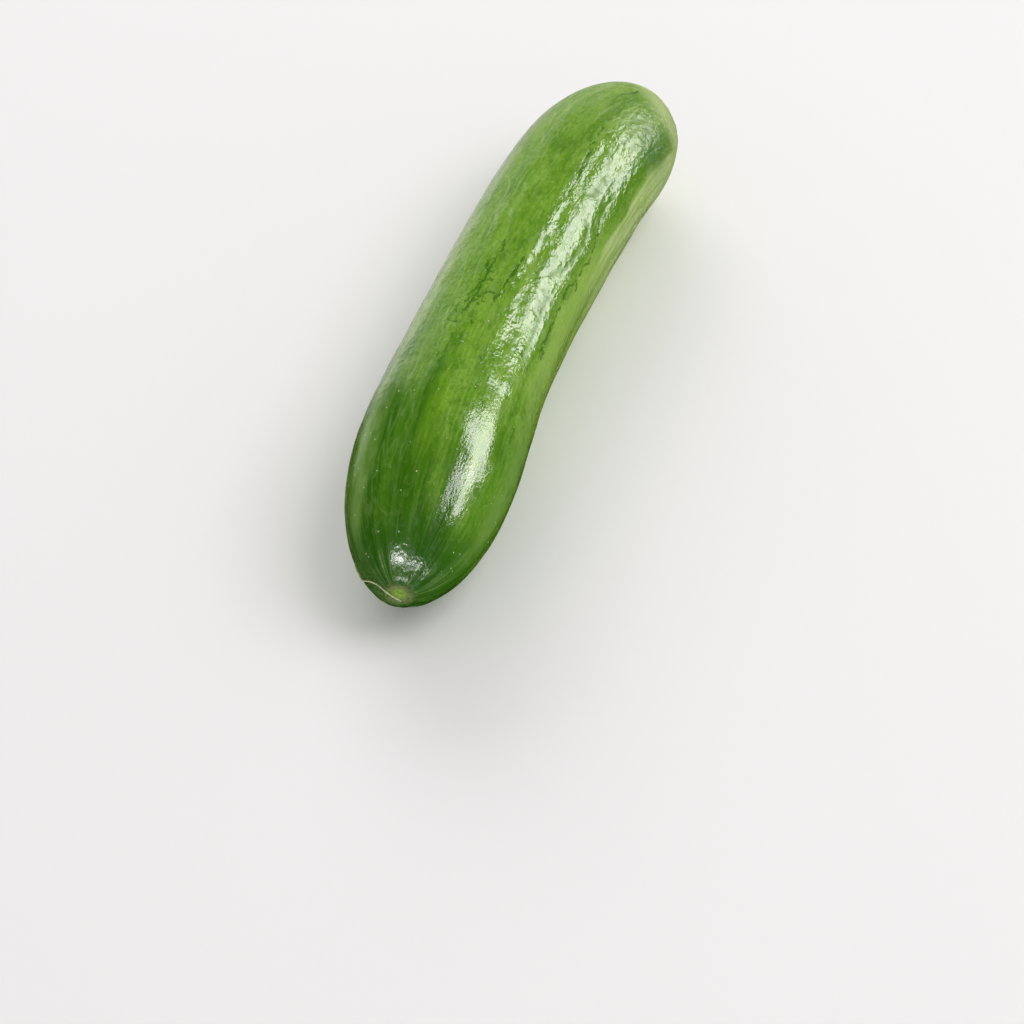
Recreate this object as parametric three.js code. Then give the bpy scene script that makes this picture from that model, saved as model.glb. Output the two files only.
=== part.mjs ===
// A Persian cucumber, as picked, lying on its side. One fruit, grown in one piece.
// Millimetres. X runs along the fruit from the blossom end to the stem end, Z is up, and the
// fruit lies on the plane Z = 0 with the middle of its outline over the origin.
//
// Two numbers place a point of the skin. "along" runs from -1 at the blossom end to +1 at the
// stem end. "around" is an angle in radians: 0 faces +Y and a quarter turn faces up.

import * as THREE from "three";

// Length and girth
const LENGTH = 150;
const WAIST_RADIUS = 16.35;
const BELLY = { swell: 1.7, place: -0.6, spread: 0.34 };
const BLOSSOM_BLUNTNESS = 5.3;
const STEM_BLUNTNESS = 10.6;

// How the fruit bends to one side, and how its ends rise off the table
const BOW = 6.5;
const HOOK = { bend: 10.2, from: 0.55 };
const END_RISE = 0.2;

// The flat spot that the fruit's weight makes where it lies
const FLAT_DEPTH = 0.45;

// The three seed chambers swell the sides, and one swelling has this angle
const LOBES = { count: 3, height: 0.4, angle: THREE.MathUtils.degToRad(44) };

// Furrows from end to end, and broad dents
const FURROWS = { count: 11, depth: 0.3, width: 1.7, sway: 0.07, seed: 11 };
const DENTS = { count: 12, height: 0.05, seed: 23 };

// Small folds of skin drawn in towards each end's scar
const PLEATS = { count: 15, height: 0.12, from: 6, spread: 3 };

// The corky ring where the stem came off, and the smaller one where the flower was
const STEM_SCAR = { radius: 4.1, rim: 0.4, rimWidth: 0.8, sink: 0.8, pit: 0.3 };
const BLOSSOM_SCAR = { radius: 3.2, rim: 0.3, rimWidth: 0.8, sink: 0.45, pit: 0.2 };

const SKIN_COLOUR = "#4f8122";

// Faces round the fruit and rings along it, with the rings closer together at the ends
const FACES_ROUND = 60;
const RINGS = 78;
const CROWDING = 0.5;

const turn = 2 * Math.PI;
const bump = (distance, width) => Math.exp(-((distance / width) ** 2));

// Repeatable numbers from 0 to 1
function randomNumbers(seed) {
  let state = seed;
  return () => {
    state = (state * 16807) % 2147483647;
    return state / 2147483647;
  };
}

// The radius without the rounding of the ends
function girth(along) {
  return WAIST_RADIUS + BELLY.swell * bump(along - BELLY.place, BELLY.spread);
}

// 1 along the body, falling to 0 at the two tips
function rounding(along) {
  const bluntness = along < 0 ? BLOSSOM_BLUNTNESS : STEM_BLUNTNESS;
  return Math.sqrt(Math.max(0, 1 - Math.abs(along) ** bluntness));
}

// The middle line of the fruit, and the angle that it makes with X
function middleLine(along) {
  const past = Math.max(0, along - HOOK.from) / (1 - HOOK.from);
  const slope = 2 * BOW * along + (3 * HOOK.bend * past ** 2) / (1 - HOOK.from);
  const point = new THREE.Vector3(
    (along * LENGTH) / 2,
    -(BOW * along ** 2 + HOOK.bend * past ** 3),
    girth(along) + END_RISE * along ** 2,
  );
  return { point, angle: -Math.atan(slope / (LENGTH / 2)) };
}

function makeFurrows() {
  const random = randomNumbers(FURROWS.seed);
  return Array.from({ length: FURROWS.count }, (_, i) => ({
    angle: (turn * (i + random() - 0.5)) / FURROWS.count,
    depth: FURROWS.depth * (0.35 + random()),
    phase: turn * random(),
  }));
}

function makeDents() {
  const random = randomNumbers(DENTS.seed);
  return Array.from({ length: DENTS.count }, () => ({
    round: 1 + Math.floor(5 * random()),
    lengthwise: 2 + 8 * random(),
    phase: turn * random(),
  }));
}

const furrows = makeFurrows();
const dents = makeDents();

function furrowDepth(along, around) {
  let depth = 0;
  for (const { angle, depth: deepest, phase } of furrows) {
    const place = angle + FURROWS.sway * Math.sin(4 * along + phase);
    const apart = Math.atan2(Math.sin(around - place), Math.cos(around - place));
    const strength = 0.65 + 0.35 * Math.sin(5 * along + 2 * phase);
    depth += deepest * strength * bump(apart * WAIST_RADIUS, FURROWS.width);
  }
  return depth;
}

function dentHeight(along, around) {
  let height = 0;
  for (const { round, lengthwise, phase } of dents) {
    height += DENTS.height * Math.cos(round * around + lengthwise * along + phase);
  }
  return height;
}

// A scar's raised rim, sunken floor and central pit, at a distance from the tip
function scarHeight(scar, distance, around) {
  const ragged = distance * (1 + 0.08 * Math.cos(2 * around) + 0.05 * Math.cos(5 * around + 1));
  const rim = scar.rim * bump(ragged - scar.radius, scar.rimWidth);
  const floor = scar.sink / (1 + Math.exp((ragged - 0.85 * scar.radius) / 0.3));
  return rim - floor - scar.pit * bump(ragged, 0.8);
}

// How far the skin stands proud of the plain body
function relief(along, around) {
  const share = rounding(along);
  const fromTip = share * girth(along);
  const lobes = LOBES.height * Math.cos(LOBES.count * (around - LOBES.angle));
  const pleats = Math.cos(PLEATS.count * around) * bump(fromTip - PLEATS.from, PLEATS.spread);
  const body = lobes + dentHeight(along, around) - furrowDepth(along, around);
  const scar = along < 0 ? BLOSSOM_SCAR : STEM_SCAR;
  return share * (body + PLEATS.height * pleats) + scarHeight(scar, fromTip, around);
}

// "along" for a share of the way from tip to tip
function ringPlace(share) {
  const crowded = share - (CROWDING * Math.sin(turn * share)) / turn;
  return -Math.cos(Math.PI * crowded);
}

// The way out of the plain skin: its part along the fruit, and its part away from the middle line
function outward(along) {
  const bluntness = along < 0 ? BLOSSOM_BLUNTNESS : STEM_BLUNTNESS;
  const taper = (bluntness * Math.abs(along) ** (bluntness - 1) * girth(along)) / 2;
  return new THREE.Vector2(Math.sign(along) * taper, (rounding(along) * LENGTH) / 2).normalize();
}

function skinPoint(share, around) {
  const along = ringPlace(share);
  const { point, angle } = middleLine(along);
  const forward = new THREE.Vector3(Math.cos(angle), Math.sin(angle), 0);
  const sideways = new THREE.Vector3(-Math.sin(angle), Math.cos(angle), 0);
  const away = sideways.multiplyScalar(Math.cos(around)).setZ(Math.sin(around));
  const out = outward(along);
  const height = relief(along, around);
  return point
    .addScaledVector(away, rounding(along) * girth(along) + height * out.y)
    .addScaledVector(forward, height * out.x);
}

// A ball's grid of points, each moved to its place on the fruit's skin
function makeFruit() {
  const geometry = new THREE.SphereGeometry(1, FACES_ROUND, RINGS);
  const { position, uv } = geometry.attributes;
  for (let i = 0; i < position.count; i++) {
    const around = turn * uv.getX(i) - turn / 4;
    const place = skinPoint(uv.getY(i), around);
    position.setXYZ(i, place.x, place.y, place.z);
  }
  geometry.computeBoundingBox();
  const { min, max } = geometry.boundingBox;
  geometry.translate(-(min.x + max.x) / 2, -(min.y + max.y) / 2, -min.z - FLAT_DEPTH);
  for (let i = 0; i < position.count; i++) position.setZ(i, Math.max(0, position.getZ(i)));
  geometry.computeVertexNormals();
  return geometry;
}

const skin = new THREE.MeshStandardMaterial({ color: SKIN_COLOUR, roughness: 0.35, metalness: 0 });
const cucumber = new THREE.Mesh(makeFruit(), skin);
cucumber.name = "cucumber";

const part = new THREE.Group();
part.add(cucumber);

export default part;
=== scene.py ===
"""A Persian cucumber on a pale table: its finely wrinkled skin, its two scars, the pale specks
on its skin and the dried thread of its flower. Sizes are in millimetres until a mesh is made.

"along" runs from -1 at the blossom end to +1 at the stem end. "around" is an angle in
radians: 0 faces +Y and a quarter turn faces up.
"""
import math
from types import SimpleNamespace

import bpy
import numpy as np
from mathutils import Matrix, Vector, noise


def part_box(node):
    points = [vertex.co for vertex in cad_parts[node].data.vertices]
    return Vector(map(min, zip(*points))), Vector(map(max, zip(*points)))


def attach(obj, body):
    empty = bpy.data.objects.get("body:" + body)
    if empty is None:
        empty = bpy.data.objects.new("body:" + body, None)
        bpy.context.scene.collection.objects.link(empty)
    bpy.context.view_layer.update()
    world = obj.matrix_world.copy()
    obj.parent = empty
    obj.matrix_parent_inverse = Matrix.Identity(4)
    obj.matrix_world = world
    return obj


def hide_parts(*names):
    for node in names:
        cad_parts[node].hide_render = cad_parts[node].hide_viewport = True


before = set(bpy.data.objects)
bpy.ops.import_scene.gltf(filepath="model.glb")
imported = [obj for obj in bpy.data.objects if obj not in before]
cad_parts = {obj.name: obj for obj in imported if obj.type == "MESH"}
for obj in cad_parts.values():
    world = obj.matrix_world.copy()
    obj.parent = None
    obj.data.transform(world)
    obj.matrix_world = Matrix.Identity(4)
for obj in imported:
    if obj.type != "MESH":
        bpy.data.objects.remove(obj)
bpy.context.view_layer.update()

MM = 0.001
TURN = 2 * math.pi

# The camera, the lights and the table

# The turn is in degrees round Z from a view along +Y. Elevation is in degrees, the rest in
# millimetres.
CAMERA = {
    "turn": -70.7, "elevation": 50, "distance": 800, "right": 1.5, "up": -28.5, "lens": 128,
}

# Soft boxes that face the origin, some to light surfaces evenly and others to show as shines.
# Azimuth and elevation are in degrees, with azimuth 0 at +X and 90 at +Y. Then come the
# distance, width and height in metres, and the power in watts.
LIGHTS = [
    ("overhead_light", -80, 58, 1.6, 1.0, 1.0, 9),
    ("back_light", 35, 30, 1.6, 1.2, 0.8, 10),
]
SHINES = [
    ("side_shine", -49, 31.5, 1.3, 0.68, 0.62, 17),
    ("side_shine_low", -78, 42, 1.3, 0.5, 0.45, 9.5),
    ("back_shine", 30, -4, 1.6, 1.2, 1.8, 4.5),
    ("rim_shine", 58, -14, 1.3, 0.7, 0.34, 0.5),
    ("edge_shine", 33, -37, 1.3, 0.29, 0.27, 0.18),
    ("table_shine", -50, -30, 1.3, 0.8, 0.8, 0.25),
    ("front_shine", -176, 34, 1.2, 0.23, 0.27, 8),
    ("front_shine_small", -150, 23, 1.2, 0.09, 0.14, 3.2),
]
LIGHT_COLOUR = (1, 0.95, 0.99)
WORLD_STRENGTH = 0.5
TABLE_REACH = 6  # metres from its middle to each edge


def direction(azimuth, elevation):
    """A level or rising direction, with azimuth 0 at +X and 90 at +Y, in degrees."""
    a, e = math.radians(azimuth), math.radians(elevation)
    return Vector((math.cos(a) * math.cos(e), math.sin(a) * math.cos(e), math.sin(e)))


def make_camera():
    data = bpy.data.cameras.new("camera")
    data.lens = CAMERA["lens"]
    camera = bpy.data.objects.new("camera", data)
    tilt = math.radians(90 - CAMERA["elevation"])
    camera.rotation_euler = (tilt, 0, math.radians(CAMERA["turn"]))
    seen = Vector((CAMERA["right"], CAMERA["up"], CAMERA["distance"])) * MM
    camera.location = camera.rotation_euler.to_matrix() @ seen
    bpy.context.collection.objects.link(camera)
    bpy.context.scene.camera = camera


def make_soft_box(name, azimuth, elevation, distance, width, height, power):
    data = bpy.data.lights.new(name, "AREA")
    data.shape = "RECTANGLE"
    data.size, data.size_y = width, height
    data.energy = power
    data.color = LIGHT_COLOUR
    light = bpy.data.objects.new(name, data)
    towards = direction(azimuth, elevation)
    light.location = towards * distance
    light.rotation_euler = towards.to_track_quat("Z", "Y").to_euler()
    bpy.context.collection.objects.link(light)
    return light


def linear(hex_colour):
    """An sRGB hex colour as linear red, green, blue and alpha."""
    parts = [int(hex_colour[i:i + 2], 16) / 255 for i in (1, 3, 5)]
    return [c / 12.92 if c <= 0.04045 else ((c + 0.055) / 1.055) ** 2.4 for c in parts] + [1]


def put(tree, kind, settings=None, inputs=None):
    """Adds a node, with its settings, and its inputs set or linked."""
    node = tree.nodes.new(kind)
    for name, value in (settings or {}).items():
        setattr(node, name, value)
    for name, value in (inputs or {}).items():
        if isinstance(value, bpy.types.NodeSocket):
            tree.links.new(value, node.inputs[name])
        else:
            node.inputs[name].default_value = value
    return node


def new_material(name):
    """A new material, its node tree and its surface shader."""
    material = bpy.data.materials.new(name)
    material.use_nodes = True
    return material, material.node_tree, material.node_tree.nodes["Principled BSDF"]


def set_up_world():
    world = bpy.data.worlds.new("studio")
    world.use_nodes = True
    background = world.node_tree.nodes["Background"]
    background.inputs["Color"].default_value = linear("#ffffff")
    background.inputs["Strength"].default_value = WORLD_STRENGTH
    bpy.context.scene.world = world
    world.cycles_visibility.glossy = False
    bpy.context.scene.view_settings.view_transform = "Standard"


def make_table():
    reach = TABLE_REACH
    mesh = bpy.data.meshes.new("table_top")
    corners = [(-reach, -reach, 0), (reach, -reach, 0), (reach, reach, 0), (-reach, reach, 0)]
    mesh.from_pydata(corners, [], [(0, 1, 2, 3)])
    table = bpy.data.objects.new("table_top", mesh)
    bpy.context.collection.objects.link(table)
    # White laminate: an even, pale, almost matt ground
    material, tree, surface = new_material("White laminate")
    surface.inputs["Base Color"].default_value = linear("#fafaf8")
    surface.inputs["Roughness"].default_value = 0.7
    surface.inputs["Specular IOR Level"].default_value = 0.2
    mesh.materials.append(material)
    table.visible_glossy = False


make_camera()
set_up_world()
make_table()
for soft_box in LIGHTS:
    make_soft_box(*soft_box).visible_glossy = False
for soft_box in SHINES:
    make_soft_box(*soft_box).visible_diffuse = False

# The fruit's form, the same as the solid's

LENGTH = 150
WAIST_RADIUS = 16.35
BELLY = {"swell": 1.7, "place": -0.6, "spread": 0.34}
BLOSSOM_BLUNTNESS = 5.3
STEM_BLUNTNESS = 10.6
BOW = 6.5
HOOK = {"bend": 10.2, "from": 0.55}
END_RISE = 0.2
FLAT_DEPTH = 0.45
LOBES = {"count": 3, "height": 0.4, "angle": math.radians(44)}
FURROWS = {"count": 11, "depth": 0.3, "width": 1.7, "sway": 0.07, "seed": 11}
DENTS = {"count": 12, "height": 0.05, "seed": 23}
PLEATS = {"count": 15, "height": 0.12, "from": 6, "spread": 3}
STEM_SCAR = {"radius": 4.1, "rim": 0.4, "rim_width": 0.8, "sink": 0.8, "pit": 0.3}
BLOSSOM_SCAR = {"radius": 3.2, "rim": 0.3, "rim_width": 0.8, "sink": 0.45, "pit": 0.2}

FACES_ROUND = 220
RINGS = 430
CROWDING = 0.15


def bump(distance, width):
    return np.exp(-((distance / width) ** 2))


def random_numbers(seed):
    """Repeatable numbers from 0 to 1."""
    state = seed
    while True:
        state = state * 16807 % 2147483647
        yield state / 2147483647


def girth(along):
    """The radius without the rounding of the ends."""
    return WAIST_RADIUS + BELLY["swell"] * bump(along - BELLY["place"], BELLY["spread"])


def bluntness(along):
    return np.where(along < 0, BLOSSOM_BLUNTNESS, STEM_BLUNTNESS)


def rounding(along):
    """1 along the body, falling to 0 at the two tips."""
    return np.sqrt(np.clip(1 - np.abs(along) ** bluntness(along), 0, None))


def middle_line(along):
    """The middle line's points, and the angle that it makes with X."""
    past = np.clip(along - HOOK["from"], 0, None) / (1 - HOOK["from"])
    slope = 2 * BOW * along + 3 * HOOK["bend"] * past**2 / (1 - HOOK["from"])
    x = along * LENGTH / 2
    y = -(BOW * along**2 + HOOK["bend"] * past**3)
    z = girth(along) + END_RISE * along**2
    return np.stack([x, y, z], -1), -np.arctan(slope / (LENGTH / 2))


def furrow_depth(along, around):
    numbers = random_numbers(FURROWS["seed"])
    depth = 0
    for i in range(FURROWS["count"]):
        angle = TURN * (i + next(numbers) - 0.5) / FURROWS["count"]
        deepest = FURROWS["depth"] * (0.35 + next(numbers))
        phase = TURN * next(numbers)
        place = angle + FURROWS["sway"] * np.sin(4 * along + phase)
        apart = np.arctan2(np.sin(around - place), np.cos(around - place))
        strength = 0.65 + 0.35 * np.sin(5 * along + 2 * phase)
        depth = depth + deepest * strength * bump(apart * WAIST_RADIUS, FURROWS["width"])
    return depth


def dent_height(along, around):
    numbers = random_numbers(DENTS["seed"])
    height = 0
    for _ in range(DENTS["count"]):
        round_count = 1 + math.floor(5 * next(numbers))
        lengthwise = 2 + 8 * next(numbers)
        phase = TURN * next(numbers)
        wave = np.cos(round_count * around + lengthwise * along + phase)
        height = height + DENTS["height"] * wave
    return height


def scar_height(scar, distance, around):
    """A scar's raised rim, sunken floor and central pit, at a distance from the tip."""
    ragged = distance * (1 + 0.08 * np.cos(2 * around) + 0.05 * np.cos(5 * around + 1))
    rim = scar["rim"] * bump(ragged - scar["radius"], scar["rim_width"])
    floor = scar["sink"] / (1 + np.exp((ragged - 0.85 * scar["radius"]) / 0.3))
    return rim - floor - scar["pit"] * bump(ragged, 0.8)


def relief(along, around):
    """How far the solid's skin stands proud of the plain body."""
    share = rounding(along)
    from_tip = share * girth(along)
    lobes = LOBES["height"] * np.cos(LOBES["count"] * (around - LOBES["angle"]))
    pleats = np.cos(PLEATS["count"] * around) * bump(from_tip - PLEATS["from"], PLEATS["spread"])
    body = lobes + dent_height(along, around) - furrow_depth(along, around)
    blossom_scar = scar_height(BLOSSOM_SCAR, from_tip, around)
    stem_scar = scar_height(STEM_SCAR, from_tip, around)
    scars = np.where(along < 0, blossom_scar, stem_scar)
    return share * (body + PLEATS["height"] * pleats) + scars


# The fine folds that break up the shine, too small for the solid
FOLDS = {"length": 8, "width": 3, "height": 0.11}
CRINKLES = {"length": 2.6, "width": 1.7, "height": 0.05}

# Hollows under the skin, as the places that each runs through, its depth and its width. One
# with a negative depth is a low swelling. A place is millimetres along the fruit and degrees
# round it.
HOLLOWS = [
    ([(-4, 103), (0, 105), (5, 108), (11, 111)], 0.28, 1.2),
    ([(13, 111.5), (18, 111)], 0.13, 1.0),
    ([(18, 111), (25, 113)], 0.07, 0.9),
    ([(25, 113), (30, 112)], 0.15, 1.1),
    ([(-8, 126), (10, 127)], 0.14, 2.4),
    ([(-24.5, 121), (-24.5, 131)], -0.2, 3.0),
    ([(55, 118), (55, 136)], -0.35, 5.5),
    ([(36, 114), (46, 114)], 0.07, 1.0),
    ([(47, 114), (52, 114)], 0.18, 1.0),
    ([(41, 137), (50, 135)], 0.16, 1.5),
    ([(-15, 136), (-8, 135), (-2, 134.5), (3, 134), (4.5, 130), (4, 126)], 0.1, 0.8),
    ([(9, 126), (11, 131), (15, 138), (20, 140.5), (24, 141), (27, 138), (28.5, 132)], 0.13, 0.8),
    ([(28, 143), (33, 142), (37, 141)], 0.15, 1.0),
    ([(36, 127), (39, 127), (42, 129)], 0.22, 1.0),
]

# Strips where the wax has worn off, as their places and width
WORN = [
    ([(-16, 136), (-8, 135), (-2, 134.5), (3, 134), (5, 130), (4.5, 126)], 0.5),
    ([(9, 126), (11, 131), (15, 138), (20, 140.5), (24, 141), (27, 138), (28.5, 132)], 0.4),
    ([(36, 127), (39, 127), (42, 129)], 0.7),
]

# Fine dark cracks in the skin
CRACKS = [
    [(-10, 146), (-5, 147), (0, 148), (6, 147), (11, 146), (13, 150), (18, 151), (22, 152),
     (26, 149), (29, 146), (33, 142)],
    [(-11, 150.5), (-9, 149.5)],
    [(12, 153), (14, 154)],
    [(-5, 98), (-1, 100.5), (3, 101), (6, 102.5), (10, 103)],
    [(-4, 97), (-2.5, 95), (-2.3, 91), (-3.5, 87.5), (-4.5, 85)],
    [(0, 97), (1, 94), (1, 90), (1.6, 87)],
    [(-9.5, 81.5), (-6, 82), (-3, 83.5), (0, 83), (4, 83.5), (8, 84.5), (11, 85.5), (12.5, 83.5)],
    [(-7.5, 75), (-6, 78), (-3, 79), (-1, 81.5)],
    [(-2, 80), (1, 79)],
    [(3, 82), (5, 80), (6.5, 79), (8, 76.5)],
    [(-12.8, 78), (-13, 74), (-12.5, 71)],
    [(-9.3, 81), (-9.5, 77), (-10, 74)],
    [(-5.5, 93), (-5.8, 90)],
    [(-12.5, 90), (-11.8, 88)],
    [(-7, 88), (-5.7, 85), (-6, 83)],
    [(-33, 81.5), (-29, 81), (-25, 80.5), (-22, 81), (-17, 80)],
    [(32, 111), (35, 108.5), (40, 107), (44, 107), (46, 106), (50, 104), (55, 102.5), (58, 101)],
    [(64, 86.5), (67, 86), (69, 84)],
]
CRACK = {"depth": 0.1, "width": 0.4}

# The patch where finer cracks join into a net, as its route and radius
NET = ([(-11, 77), (-4, 83), (3, 88), (9, 84)], 3.6)

# Where along the fruit the furrows run out towards the stem, how gradually, and by how much
FILLED = {"from": 0.78, "softness": 0.03, "share": 0.8}

# How much lower the rim of the stem's scar is than the solid's
LOWER_RIM = {"depth": 0.25, "width": 1.1}

# Dark spots, as their place, radius and strength
SPOTS = [
    ((13.5, 91), 0.9, 0.9), ((14, 97), 0.7, 0.5), ((29, 90), 0.7, 0.7), ((-22, 107), 0.8, 0.6),
    ((-53, 100.5), 0.9, 0.7), ((-37, 100.5), 0.8, 0.7), ((-34, 59), 0.8, 0.4),
    ((-40, 39), 0.9, 0.4), ((-30, 111), 0.6, 0.4), ((-43, 141), 2.6, 0.5), ((37, 98), 1.6, 0.5),
    ((44, 87), 2.4, 0.5), ((62, 148), 5.5, 0.75), ((-64, 156), 2.2, 0.5), ((-28, 80), 2.2, 0.5),
    ((-22, 64), 7.0, 0.45),
]

# How far, and over what size of patch, a place wanders so that no line on the skin is ruled
CROOKED = {"by": 0.7, "patch": 1.8}


def distance_from(x, arc, route):
    """Millimetres to the nearest point of a route over the skin."""
    nearest = np.full(x.shape, 1e3)
    places = [(place, math.radians(angle) * WAIST_RADIUS) for place, angle in route]
    for (x0, arc0), (x1, arc1) in zip(places, places[1:] or places):
        run_x, run_arc = x1 - x0, arc1 - arc0
        share = ((x - x0) * run_x + (arc - arc0) * run_arc) / max(run_x**2 + run_arc**2, 1e-9)
        share = np.clip(share, 0, 1)
        apart = np.hypot(x - x0 - share * run_x, arc - arc0 - share * run_arc)
        nearest = np.minimum(nearest, apart)
    return nearest


def noise_at(places, length, width, offset):
    """Noise from -1 to 1 at straight places, with patches of that length and width."""
    scaled = places.reshape(-1, 3) / (length, width, width) + offset
    return np.array([noise.noise(Vector(place)) for place in scaled]).reshape(places.shape[:-1])


def straight(along, around):
    """A place on the skin as if the fruit were a straight rod, so that patterns run along it."""
    radius = WAIST_RADIUS * rounding(along)
    return np.stack([along * LENGTH / 2, radius * np.cos(around), radius * np.sin(around)], -1)


def unrolled(along, around):
    """Millimetres along the skin and round it, a little crooked."""
    places = straight(along, around)
    by, patch = CROOKED["by"], CROOKED["patch"]
    x = along * LENGTH / 2 + by * noise_at(places, patch, patch, 7)
    arc = (around % TURN) * WAIST_RADIUS + by * noise_at(places, patch, patch, 70)
    return x, arc


def distance_from_cracks(along, around):
    x, arc = unrolled(along, around)
    return np.min([distance_from(x, arc, route) for route in CRACKS], axis=0)


def spot_strength(along, around):
    x, arc = unrolled(along, around)
    spots = [dark * bump(distance_from(x, arc, [place]), radius) for place, radius, dark in SPOTS]
    return np.max(spots, axis=0)


def netted(along, around):
    route, radius = NET
    return bump(distance_from(*unrolled(along, around), route), radius)


def worn_strength(along, around):
    x, arc = unrolled(along, around)
    return np.max([bump(distance_from(x, arc, route), width) for route, width in WORN], axis=0)


def fold_height(along, around):
    """How far the finer forms, which the solid doesn't have, stand proud of its skin."""
    places = straight(along, around)
    height = FOLDS["height"] * noise_at(places, FOLDS["length"], FOLDS["width"], 0)
    crinkles = 0.5 - abs(noise_at(places, CRINKLES["length"], CRINKLES["width"], 50))
    height = height + CRINKLES["height"] * crinkles
    x, arc = unrolled(along, around)
    for route, depth, width in HOLLOWS:
        height = height - depth * bump(distance_from(x, arc, route), width)
    cracks = CRACK["depth"] * bump(distance_from_cracks(along, around), CRACK["width"])
    run_out = 1 + np.exp((FILLED["from"] - along) / FILLED["softness"])
    filled = FILLED["share"] * furrow_depth(along, around) / run_out
    past_rim = rounding(along) * girth(along) - STEM_SCAR["radius"]
    lower = LOWER_RIM["depth"] * bump(past_rim, LOWER_RIM["width"]) * (along > 0)
    return (height - cracks + filled) * rounding(along) - lower


def skin_points(along, around, lift=0, fine=True):
    """Points on the skin, or above it by lift, in the solid's frame but not yet over its origin."""
    points, angle = middle_line(along)
    zero = np.zeros_like(angle)
    forward = np.stack([np.cos(angle), np.sin(angle), zero], -1)
    sideways = np.stack([-np.sin(angle), np.cos(angle), zero], -1)
    away = sideways * np.cos(around)[..., None]
    away[..., 2] = np.sin(around)
    taper = bluntness(along) * np.abs(along) ** (bluntness(along) - 1) * girth(along) / 2
    out = np.stack([np.sign(along) * taper, rounding(along) * LENGTH / 2], -1)
    out = out / np.linalg.norm(out, axis=-1, keepdims=True)
    height = relief(along, around) + lift
    if fine:
        height = height + fold_height(along, around)
    radius = rounding(along) * girth(along) + height * out[..., 1]
    return points + away * radius[..., None] + forward * (height * out[..., 0])[..., None]


def ring_places():
    share = np.linspace(0, 1, RINGS + 1)
    return -np.cos(np.pi * (share - CROWDING * np.sin(TURN * share) / TURN))


low, high = (np.array(corner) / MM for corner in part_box("cucumber"))


def find_shift():
    """How far the plain form moves to lie over the origin, where the solid is."""
    degrees = np.linspace(0, TURN, 361)
    along, around = np.meshgrid(ring_places(), degrees, indexing="ij")
    points = skin_points(along, around, fine=False).reshape(-1, 3)
    shift = (low + high) / 2 - (points.min(0) + points.max(0)) / 2
    shift[2] = -points[:, 2].min() - FLAT_DEPTH
    return shift


SHIFT = find_shift()


def settle(points):
    """Moves points of the form over the origin and presses its flat spot level with the table."""
    placed = points + SHIFT
    placed[..., 2] = np.maximum(placed[..., 2], 0)
    return placed * MM


def skin_faces(rings):
    """Rings of four-sided faces, closed at the tips, whose two points come after all the rings'."""
    first, last = rings * FACES_ROUND, rings * FACES_ROUND + 1
    faces = []
    for j in range(FACES_ROUND):
        k = (j + 1) % FACES_ROUND
        faces.append((first, k, j))
        for i in range(rings - 1):
            near, far = i * FACES_ROUND, (i + 1) * FACES_ROUND
            faces.append((near + j, near + k, far + k, far + j))
        end = (rings - 1) * FACES_ROUND
        faces.append((last, end + j, end + k))
    return faces


def make_fruit():
    rings = ring_places()[1:-1]
    spokes = np.linspace(0, TURN, FACES_ROUND, endpoint=False)
    along, around = np.meshgrid(rings, spokes, indexing="ij")
    along = np.concatenate([along.ravel(), [-1.0, 1.0]])
    around = np.concatenate([around.ravel(), [0.0, 0.0]])
    points = settle(skin_points(along, around))
    mesh = bpy.data.meshes.new("cucumber_skin")
    mesh.from_pydata(points.tolist(), [], skin_faces(len(rings)))

    # What the materials and the specks go by. The skin of the other half is a metre from a tip.
    rod = mesh.attributes.new("straight", "FLOAT_VECTOR", "POINT")
    rod.data.foreach_set("vector", (straight(along, around) * MM).ravel())
    from_tip = rounding(along) * girth(along) * MM
    on_sides = (rounding(along) > 0.5) * (points[:, 2] > 0.5 * MM)
    marks = {
        "from_blossom": np.where(along < -0.5, from_tip, 1),
        "from_stem": np.where(along > 0.5, from_tip, 1),
        "from_crack": distance_from_cracks(along, around) * MM,
        "spot": spot_strength(along, around),
        "worn": worn_strength(along, around),
        "netted": netted(along, around),
        "speckled": np.clip(0.35 - along, 0.06, 1) * on_sides,
    }
    for name, values in marks.items():
        mesh.attributes.new(name, "FLOAT", "POINT").data.foreach_set("value", values)
    mesh.shade_smooth()
    mesh.update()
    fruit = bpy.data.objects.new("cucumber_skin", mesh)
    bpy.context.collection.objects.link(fruit)
    return fruit


# Materials. Patterns have their sizes in millimetres, and a shader's places are in metres.

# Soft pale streaks down the sides of the blossom half. The first is a painted sheen, a reflection
# of light down the outside of the bend, and the second is a paler streak of skin that is partly
# painted sheen too.
# Each is given as how far round from the top it is, how far it swings round near the tip, its width
# and its colour
SHEENS_AND_PALE_STREAKS = [(-0.78, -0.34, 0.15, "#86ab58"), (1.3, 0.1, 0.14, "#86ae4a")]

# How far the forms that only the shading has stand, in millimetres
PUCKER_HEIGHT = -0.03
CRUMPLE_HEIGHT = 0.13
FIBRE_HEIGHT = 0.02
SCAR_HEIGHT = 0.35


def ranged(tree, value, low_in, high_in, low_out=0.0, high_out=1.0):
    """The value's way from low_in to high_in, eased, as a way from low_out to high_out."""
    inputs = {
        "Value": value, "From Min": low_in, "From Max": high_in,
        "To Min": low_out, "To Max": high_out,
    }
    node = put(tree, "ShaderNodeMapRange", {"interpolation_type": "SMOOTHSTEP"}, inputs)
    return node.outputs["Result"]


def stretched(tree, place, length, width, offset=0):
    """The place on the skin, scaled so that a pattern's patches have this length and width."""
    scale = (1 / (length * MM), 1 / (width * MM), 1 / (width * MM))
    inputs = {"Vector": place, "Location": (offset,) * 3, "Scale": scale}
    return put(tree, "ShaderNodeMapping", {}, inputs).outputs["Vector"]


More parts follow.
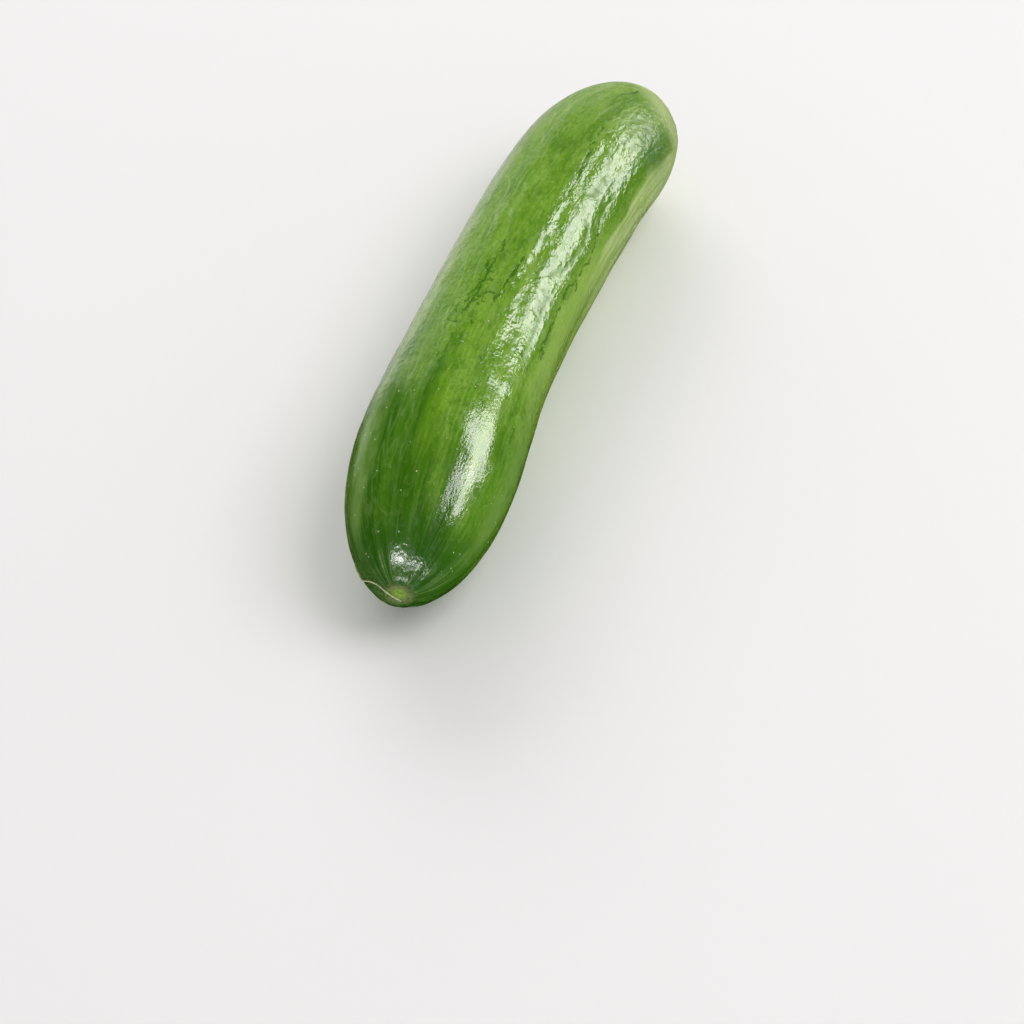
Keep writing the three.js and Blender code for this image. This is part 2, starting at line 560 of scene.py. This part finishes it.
def cloud(tree, place, length, width, offset=0, detail=2.0, roughness=0.5):
    """Patches of that length and width, from 0 to 1."""
    vector = stretched(tree, place, length, width, offset)
    inputs = {"Vector": vector, "Scale": 1.0, "Detail": detail, "Roughness": roughness}
    return put(tree, "ShaderNodeTexNoise", {}, inputs).outputs["Fac"]


def attribute(tree, name, output="Fac"):
    return put(tree, "ShaderNodeAttribute", {"attribute_name": name}).outputs[output]


def worked_out(tree, operation, *terms):
    """The terms taken together by one operation, two at a time from the first on."""
    total = terms[0]
    for term in terms[1:]:
        node = put(tree, "ShaderNodeMath", {"operation": operation}, {0: total, 1: term})
        total = node.outputs[0]
    return total


def sum_of(tree, *terms):
    return worked_out(tree, "ADD", *terms)


def product(tree, *terms):
    return worked_out(tree, "MULTIPLY", *terms)


def size_of(tree, value):
    """The value without its sign."""
    return put(tree, "ShaderNodeMath", {"operation": "ABSOLUTE"}, {0: value}).outputs[0]


def blended(tree, share, first, second):
    """The first colour, turning into the second as share goes from 0 to 1."""
    first, second = (linear(c) if isinstance(c, str) else c for c in (first, second))
    inputs = {0: share, 6: first, 7: second}
    return put(tree, "ShaderNodeMix", {"data_type": "RGBA"}, inputs).outputs[2]


def mottled(tree, colour, place, size, grain, span, strength, patch_colour, where=1.0):
    """The colour with patches of another: their length and width, the noise's offset, detail
    and roughness, the span of noise over which they fade in, and their strength."""
    patches = ranged(tree, cloud(tree, place, *size, *grain), *span, 0, strength)
    return blended(tree, product(tree, patches, where), colour, patch_colour)


def skin_sockets(tree):
    """What the skin's patterns go by: where a point of the skin is, and what lies near it."""
    place = attribute(tree, "straight", "Vector")
    along, side, up = put(tree, "ShaderNodeSeparateXYZ", {}, {0: place}).outputs
    angle = put(tree, "ShaderNodeMath", {"operation": "ARCTAN2"}, {0: side, 1: up}).outputs[0]
    # 0 on top, rising to the inside of the bend and falling to its outside, in radians
    lean = product(tree, angle, -1.0)

    # The place as if the ends were not rounded, so that streaks run in to both scars
    rim = put(tree, "ShaderNodeCombineXYZ", {}, {1: side, 2: up}).outputs[0]
    rim = put(tree, "ShaderNodeVectorMath", {"operation": "NORMALIZE"}, {0: rim}).outputs[0]
    axis = put(tree, "ShaderNodeCombineXYZ", {}, {0: along}).outputs[0]
    grown = put(tree, "ShaderNodeVectorMath", {"operation": "MULTIPLY_ADD"},
                {0: rim, 1: (0.016,) * 3, 2: axis}).outputs[0]

    # Small flat cells, with distances from their edges
    wander = put(tree, "ShaderNodeTexNoise", {},
                 {"Vector": stretched(tree, place, 1.6, 1.4), "Scale": 1.0}).outputs["Color"]
    shaken = put(tree, "ShaderNodeVectorMath", {"operation": "MULTIPLY_ADD"},
                 {0: wander, 1: (0.0014,) * 3, 2: place}).outputs[0]
    cells = put(tree, "ShaderNodeTexVoronoi", {"feature": "DISTANCE_TO_EDGE"},
                {"Vector": stretched(tree, shaken, 2.6, 1.7), "Scale": 1.0}).outputs["Distance"]

    # The scars, whose edges are ragged
    grain = cloud(tree, place, 0.7, 0.7, 5, 4, 0.7)
    rough_edge = ranged(tree, grain, 0.3, 0.7, -0.0007, 0.0007)
    from_blossom = attribute(tree, "from_blossom")
    from_middle = sum_of(tree, from_blossom, rough_edge)
    from_stem = sum_of(tree, attribute(tree, "from_stem"), rough_edge)
    return SimpleNamespace(
        place=place, along=along, lean=lean, grown=grown, cells=cells, grain=grain,
        from_blossom=from_blossom, from_middle=from_middle,
        on_blossom=ranged(tree, from_middle, 0.0022, 0.0040, 0.9, 0),
        on_stem=ranged(tree, from_stem, 0.0040, 0.0052, 1, 0),
    )


def streaked_green(tree, skin):
    """Deep green at the blossom end that turns yellow-green from the middle on, in streaks."""
    place, grown, along, lean = skin.place, skin.grown, skin.along, skin.lean
    wander = ranged(tree, cloud(tree, place, 40, 6), 0.3, 0.7, -0.018, 0.018)
    turned = sum_of(tree, along, wander, product(tree, lean, 0.022))
    not_tip = ranged(tree, along, -0.073, -0.055)
    ripe = product(tree, ranged(tree, turned, -0.062, -0.017), not_tip)
    colour = blended(tree, ripe, "#2f6307", "#77a72d")
    stripe = product(
        tree, ranged(tree, lean, -0.2, -0.05), ranged(tree, lean, 0.05, 0.15, 1, 0),
        ranged(tree, along, -0.06, -0.045), ranged(tree, along, -0.02, 0, 0.4, 0))
    colour = blended(tree, stripe, colour, "#7fb31c")
    colour = blended(tree, ranged(tree, along, 0.035, 0.078), colour, "#8fb350")

    # Wide streaks, pale streaks, blotches, fibres, and smudges on the stem half
    paleness = ranged(tree, ripe, 0, 1, 0.3, 1)
    stem_half = ranged(tree, along, -0.01, 0.02)
    for patches in (
        (grown, (28, 4), (3, 3), (0.42, 0.62), 0.5, "#548a14"),
        (grown, (16, 2.6), (9, 3), (0.5, 0.72), 0.45, "#8eb04a", paleness),
        (place, (5, 2.4), (29, 5, 0.65), (0.42, 0.66), 0.58, "#447812"),
        (grown, (8, 0.6), (17, 3), (0.42, 0.7), 0.5, "#8fb350", paleness),
        (place, (11, 6), (31, 4, 0.6), (0.46, 0.62), 0.35, "#568f1a", stem_half),
    ):
        colour = mottled(tree, colour, *patches)

    # Pale wisps on the outside of the bend
    near = size_of(tree, sum_of(tree, cloud(tree, place, 20, 4, 33, 2), -0.5))
    outer = ranged(tree, lean, 0, -0.4)
    wisps = product(tree, ranged(tree, near, 0, 0.03, 0.4, 0), outer, paleness)
    colour = blended(tree, wisps, colour, "#a9c77e")

    # Pale flecks and dark pits
    for patches in (
        (place, (1.2, 0.6), (19, 3, 0.6), (0.5, 0.72), 0.5, "#9dbb62", paleness),
        (place, (1.6, 0.8), (43, 3, 0.6), (0.52, 0.7), 0.4, "#3f720c"),
    ):
        colour = mottled(tree, colour, *patches)
    return colour


def with_pale_sides(tree, skin, colour):
    """The colour, paler where the sides face outwards, above all in a clean-edged band that is
    partly skin that lay against something as it grew and partly a painted reflection of the pale
    table.
    Painted sheens run down the blossom half, the blossom tip is darker, the stem end paler, and the
    low side of the blossom end is darkened as painted shade."""
    along, lean = skin.along, skin.lean
    cloudy = ranged(tree, cloud(tree, skin.place, 9, 4, 97, 4, 0.6), 0.35, 0.65, 0.35, 1)
    lifted = sum_of(tree, along, product(tree, lean, -0.06))
    outside = product(tree, ranged(tree, lean, -0.3, -0.9),
                      ranged(tree, lifted, -0.015, 0.035, 0.0, 0.75), cloudy)
    colour = blended(tree, outside, colour, "#8fae5c")

    # The band, which is partly paler skin and partly a painted reflection of the pale table, the
    # dark line beside it, and its fainter end at mid length
    wander = ranged(tree, cloud(tree, skin.place, 14, 14, 83), 0.3, 0.7, -0.06, 0.06)
    edge = sum_of(tree, lean, wander)
    flank = product(tree, ranged(tree, along, -0.03, -0.01),
                    ranged(tree, along, 0.02, 0.04, 0.55, 0), ranged(tree, edge, 0.95, 1.05))
    colour = blended(tree, flank, colour, "#a3c75c")
    deep = product(tree, ranged(tree, edge, 0.75, 0.95),
                   ranged(tree, edge, 1.1, 1.17, 0.65, 0), ranged(tree, along, 0.02, 0.045))
    colour = blended(tree, deep, colour, "#578c14")
    # Painted reflection of the pale table, over a paler stripe of skin
    pale_band_and_reflection = product(tree, ranged(tree, edge, 1.2, 1.27), ranged(tree, along, 0.008, 0.03, 0, 0.85))
    threads = ranged(tree, cloud(tree, skin.grown, 14, 0.6, 87, 2), 0.35, 0.65)
    pale_band_and_reflection_colour = blended(tree, threads, "#a0c060", "#c2d892")

    blossom_half = ranged(tree, along, -0.035, -0.015, 1, 0)
    # Painted sheen down the outside of the bend, and a paler skin streak, partly painted sheen, on
    # the inside
    for middle, swing, width, pale in SHEENS_AND_PALE_STREAKS:
        centre = ranged(tree, along, -0.074, -0.052, -middle - swing, -middle)
        apart = size_of(tree, sum_of(tree, lean, centre))
        streak = ranged(tree, apart, 0.3 * width, 1.6 * width, 0.75, 0)
        colour = blended(tree, product(tree, streak, blossom_half, cloudy), colour, pale)

    blossom_tip = ranged(tree, along, -0.069, -0.062, 0.5, 0)
    colour = blended(tree, blossom_tip, colour, "#27600a")
    stem_rim = ranged(tree, along, 0.068, 0.0725, 0, 0.8)
    colour = blended(tree, stem_rim, colour, "#c4da90")
    # Painted shade: the low side of the blossom end is darkened, as if shaded
    painted_shade_low_side = product(tree, ranged(tree, lean, 0.85, 0.95),
                       ranged(tree, along, -0.04, -0.03, 0.35, 0))
    colour = blended(tree, painted_shade_low_side, colour, "#3f7d06")
    return blended(tree, pale_band_and_reflection, colour, pale_band_and_reflection_colour)


def with_cracks(tree, skin, colour):
    """The colour, with the cracks, the net of finer ones and the dark spots."""
    ragged = cloud(tree, skin.place, 0.9, 0.9, 91, 3, 0.6)
    ragged = ranged(tree, ragged, 0.3, 0.7, -0.00016, 0.00016)
    from_crack = sum_of(tree, attribute(tree, "from_crack"), ragged)
    crack = ranged(tree, from_crack, 0.00012, 0.0004, 0.8, 0)
    net = product(tree, ranged(tree, skin.cells, 0.015, 0.055, 0.8, 0), attribute(tree, "netted"),
                  ranged(tree, cloud(tree, skin.place, 3, 2.4, 73, 2), 0.4, 0.6))
    colour = blended(tree, sum_of(tree, crack, net), colour, "#3a6d12")
    return blended(tree, product(tree, attribute(tree, "spot"), 0.7), colour, "#3a6d10")


def with_scars(tree, skin, colour):
    """The colour, with the corky scars, and with dark wedges and pale lines that run out from
    the flower's."""
    near_blossom = ranged(tree, skin.from_blossom, 0.006, 0.017, 1, 0)
    patches = ranged(tree, cloud(tree, skin.place, 4, 4, 59, 3), 0.38, 0.6, 0.1, 1)
    patchy = product(tree, patches, near_blossom)
    for patches in (
        (skin.grown, (16, 2.2), (45, 4, 0.6), (0.44, 0.58), 0.55, "#215606", near_blossom),
        (skin.grown, (14, 0.9), (37, 2), (0.48, 0.7), 0.45, "#8db06a", patchy),
    ):
        colour = mottled(tree, colour, *patches)
    grainy = ranged(tree, skin.grain, 0.35, 0.65)
    cork = blended(tree, grainy, "#8a8350", "#b9ae7c")
    flesh = blended(tree, grainy, "#70a818", "#b4da50")
    ring = blended(tree, ranged(tree, skin.grain, 0.35, 0.6), "#40701a", "#a0ac62")
    scar = blended(tree, ranged(tree, skin.from_middle, 0.0012, 0.0019), flesh, ring)
    colour = blended(tree, skin.on_blossom, colour, scar)
    return blended(tree, skin.on_stem, colour, cork)


def skin_material():
    # Living cucumber skin: thin, waxy and slightly crinkled, so its shine is broken into
    # small flecks, over greens that run in streaks from end to end
    material, tree, surface = new_material("Cucumber skin")
    skin = skin_sockets(tree)
    along, place = skin.along, skin.place
    colour = streaked_green(tree, skin)
    for change in (with_pale_sides, with_cracks, with_scars):
        colour = change(tree, skin, colour)
    tree.links.new(colour, surface.inputs["Base Color"])

    # Puckers round the cells, which are stronger near the ends and weaker on the blossom half
    broken = ranged(tree, cloud(tree, place, 2.4, 1.6, 71, 2), 0.4, 0.58)
    puckers = product(tree, ranged(tree, skin.cells, 0.02, 0.2, 1, 0), broken)
    rough_part = product(
        tree, ranged(tree, along, -0.035, -0.02, 0.35, 1),
        ranged(tree, along, -0.066, -0.058, 1.6, 1), ranged(tree, along, 0.040, 0.056, 1, 1.7))
    crumple = product(tree, cloud(tree, place, 1.7, 1.2, 61, 1.5, 0.5), CRUMPLE_HEIGHT)
    creases = sum_of(tree, product(tree, puckers, PUCKER_HEIGHT), crumple)

    # Threads of fibre just under the skin, fine grit, and the grain of the scars
    fibres = product(tree, cloud(tree, skin.grown, 10, 0.45, 67, 2), FIBRE_HEIGHT)
    grit_height = ranged(tree, along, -0.036, -0.028, 0.03, 0.018)
    grit = product(tree, cloud(tree, place, 0.55, 0.4, 41, 1), grit_height)
    on_scars = sum_of(tree, skin.on_blossom, skin.on_stem)
    scar_grain = product(tree, skin.grain, on_scars, SCAR_HEIGHT)
    height = sum_of(tree, product(tree, creases, rough_part), fibres, grit, scar_grain)
    inputs = {"Height": height, "Distance": MM, "Strength": 1.0}
    bumps = put(tree, "ShaderNodeBump", {}, inputs)
    tree.links.new(bumps.outputs["Normal"], surface.inputs["Normal"])

    # Wax is thinner, and so duller, in cloudy patches, where it has worn off, at both ends, in
    # the puckers and on the scars
    dull = sum_of(
        tree,
        ranged(tree, cloud(tree, place, 5, 3, 53, 4, 0.65), 0.38, 0.66, 0.11, 0.2),
        product(tree, attribute(tree, "worn"), 0.3),
        ranged(tree, along, 0.052, 0.060, 0, 0.2),
        ranged(tree, skin.from_blossom, 0.006, 0.015, 0.09, 0),
        product(tree, puckers, rough_part, 0.12),
        product(tree, on_scars, 0.35))
    tree.links.new(dull, surface.inputs["Roughness"])
    surface.inputs["IOR"].default_value = 1.45
    return material


def speck_material():
    # The dried stumps of hairs that the young fruit had: dull, almost white points
    material, tree, surface = new_material("Dried hair stump")
    place = put(tree, "ShaderNodeTexCoord").outputs["Object"]
    colour = blended(tree, cloud(tree, place, 0.3, 0.3), "#a9c27f", "#e6edcf")
    tree.links.new(colour, surface.inputs["Base Color"])
    surface.inputs["Roughness"].default_value = 0.45
    return material


def thread_material():
    # Dried flower tissue: a dull straw-coloured thread with fine darker flecks
    material, tree, surface = new_material("Dried flower thread")
    place = put(tree, "ShaderNodeTexCoord").outputs["Object"]
    flecks = ranged(tree, cloud(tree, place, 0.8, 0.5, 3, 3), 0.4, 0.7)
    colour = blended(tree, flecks, "#dfe6b4", "#b3b277")
    tree.links.new(colour, surface.inputs["Base Color"])
    surface.inputs["Roughness"].default_value = 0.5
    return material


# Pieces that Geometry Nodes make

SPECKS = {
    "Most to a square metre": 26000, "Smallest": 0.08 * MM, "Largest": 0.18 * MM,
}
SPECK_FLATNESS = 0.6

THREAD_RADIUS = 0.17
THREAD_LIFT = 0.15

# The thread's route from the blossom scar over the skin, as along and degrees round
THREAD = [
    (-0.9965, 262), (-0.998, 319), (-0.995, 371), (-0.985, 375),
    (-0.972, 366), (-0.935, 340), (-0.921, 343), (-0.904, 349),
]


def new_group(name, sizes):
    """A geometry tree with a geometry input and output and an input for each named size."""
    tree = bpy.data.node_groups.new(name, "GeometryNodeTree")
    tree.interface.new_socket("Geometry", in_out="INPUT", socket_type="NodeSocketGeometry")
    for size in sizes:
        tree.interface.new_socket(size, in_out="INPUT", socket_type="NodeSocketFloat")
    tree.interface.new_socket("Geometry", in_out="OUTPUT", socket_type="NodeSocketGeometry")
    return tree, put(tree, "NodeGroupInput").outputs


def finish_group(tree, geometry, material):
    """Ends the tree with the geometry made real and given its material."""
    real = put(tree, "GeometryNodeRealizeInstances", {}, {"Geometry": geometry})
    inputs = {"Geometry": real.outputs["Geometry"], "Material": material}
    done = put(tree, "GeometryNodeSetMaterial", {}, inputs)
    put(tree, "NodeGroupOutput", {}, {"Geometry": done.outputs["Geometry"]})


def made_by(name, tree, base, sizes):
    """A plain mesh object that the tree makes from the base mesh with these sizes."""
    maker = bpy.data.objects.new(name + "_maker", base)
    bpy.context.collection.objects.link(maker)
    modifier = maker.modifiers.new("maker", "NODES")
    modifier.node_group = tree
    for socket in tree.interface.items_tree:
        if socket.in_out == "INPUT" and socket.name in sizes:
            modifier[socket.identifier] = sizes[socket.name]
    evaluated = maker.evaluated_get(bpy.context.evaluated_depsgraph_get())
    mesh = bpy.data.meshes.new_from_object(evaluated)
    mesh.name = name
    bpy.data.objects.remove(maker)
    piece = bpy.data.objects.new(name, mesh)
    bpy.context.collection.objects.link(piece)
    return piece


def make_specks(fruit_mesh):
    """Low domes scattered on the skin, mostly on its blossom half."""
    tree, sizes = new_group("Specks", SPECKS)
    spread = put(tree, "GeometryNodeInputNamedAttribute", {"data_type": "FLOAT"},
                 {"Name": "speckled"}).outputs[0]
    density = product(tree, spread, sizes["Most to a square metre"])
    scattered = put(tree, "GeometryNodeDistributePointsOnFaces", {},
                    {"Mesh": sizes["Geometry"], "Density": density, "Seed": 6}).outputs
    dome = put(tree, "GeometryNodeMeshIcoSphere", {}, {"Radius": 1.0, "Subdivisions": 1})
    # A random value has a lowest and a highest for each type, and inputs 2 and 3 are a number's
    random = put(tree, "FunctionNodeRandomValue", {"data_type": "FLOAT"},
                 {2: sizes["Smallest"], 3: sizes["Largest"], "Seed": 8})
    flattened = put(tree, "ShaderNodeVectorMath", {"operation": "MULTIPLY"},
                    {0: random.outputs[1], 1: (1, 1, SPECK_FLATNESS)})
    placed = put(tree, "GeometryNodeInstanceOnPoints", {}, {
        "Points": scattered["Points"], "Instance": dome.outputs["Mesh"],
        "Rotation": scattered["Rotation"], "Scale": flattened.outputs[0]})
    finish_group(tree, placed.outputs["Instances"], speck_material())
    return made_by("hair_stumps", tree, fruit_mesh, SPECKS)


def smooth_route(points, steps):
    """Points on a smooth curve through the given ones."""
    ends = np.vstack([2 * points[0] - points[1], points, 2 * points[-1] - points[-2]])
    curve = []
    for a, b, c, d in zip(ends, ends[1:], ends[2:], ends[3:]):
        for t in np.linspace(0, 1, steps, endpoint=False):
            bend = 2 * a - 5 * b + 4 * c - d + t * (3 * (b - c) + d - a)
            curve.append(b + 0.5 * t * (c - a + t * bend))
    return np.array(curve + [points[-1]])


def make_thread():
    """A thin tube along the thread's route, lying on the skin."""
    along, around = np.array(THREAD).T
    places = settle(skin_points(along, np.radians(around), lift=THREAD_LIFT))
    route = smooth_route(places, 8)
    base = bpy.data.meshes.new("thread_route")
    base.from_pydata(route.tolist(), [(i, i + 1) for i in range(len(route) - 1)], [])
    tree, sizes = new_group("Thread", ("Radius",))
    path = put(tree, "GeometryNodeMeshToCurve", {}, {"Mesh": sizes["Geometry"]})
    section = put(tree, "GeometryNodeCurvePrimitiveCircle", {},
                  {"Resolution": 8, "Radius": sizes["Radius"]})
    tube = put(tree, "GeometryNodeCurveToMesh", {}, {
        "Curve": path.outputs["Curve"], "Profile Curve": section.outputs["Curve"],
        "Fill Caps": True})
    finish_group(tree, tube.outputs["Mesh"], thread_material())
    return made_by("flower_thread", tree, base, {"Radius": THREAD_RADIUS * MM})


# The pieces

fruit = make_fruit()
fruit.data.materials.append(skin_material())
specks = make_specks(fruit.data)
thread = make_thread()

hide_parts("cucumber")
for piece in (fruit, specks, thread):
    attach(piece, "root")
